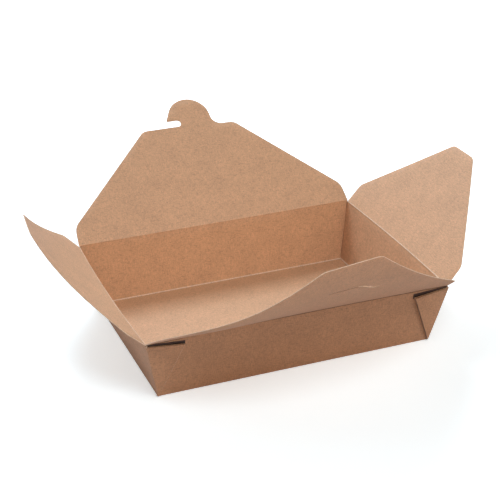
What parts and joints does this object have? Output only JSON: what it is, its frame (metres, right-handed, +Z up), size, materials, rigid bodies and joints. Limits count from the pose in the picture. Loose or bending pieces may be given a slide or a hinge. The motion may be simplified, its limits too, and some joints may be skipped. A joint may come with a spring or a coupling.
{
  "type": "takeaway box",
  "caption": "Shallow folded kraft takeaway box with sloping walls and open hinged flaps, to hold a hot meal and close with a hook and slit.",
  "frame": {"origin": "centre of the underside of the base, on the surface the box stands on", "axes": "+X to the right along the long side, +Y from the front wall to the back wall, +Z up"},
  "size_m": [0.3205, 0.3154, 0.1159],
  "materials": {
    "kraft_board": "matt brown kraft board, slightly fibrous"
  },
  "bodies": {
    "tray": {"tray": "kraft_board"},
    "front_flap": {"front_flap": "kraft_board"},
    "back_flap": {"back_flap": "kraft_board"},
    "left_flap": {"left_flap": "kraft_board"},
    "right_flap": {"right_flap": "kraft_board"}
  },
  "joints": [
    {"name": "front_fold", "type": "hinge", "parent": "tray", "child": "front_flap", "pos_m": [0, -0.07914, 0.0451], "axis": [-1, 0, 0], "range_deg": [-48, 137.6]},
    {"name": "back_fold", "type": "hinge", "parent": "tray", "child": "back_flap", "pos_m": [0, 0.07914, 0.0451], "axis": [1, 0, 0], "range_deg": [-61.5, 134]},
    {"name": "left_fold", "type": "hinge", "parent": "tray", "child": "left_flap", "pos_m": [-0.10755, 0, 0.0443], "axis": [0, 1, 0], "range_deg": [-74, 138.8]},
    {"name": "right_fold", "type": "hinge", "parent": "tray", "child": "right_flap", "pos_m": [0.10755, 0, 0.0443], "axis": [0, -1, 0], "range_deg": [-77, 135.5]}
  ]
}
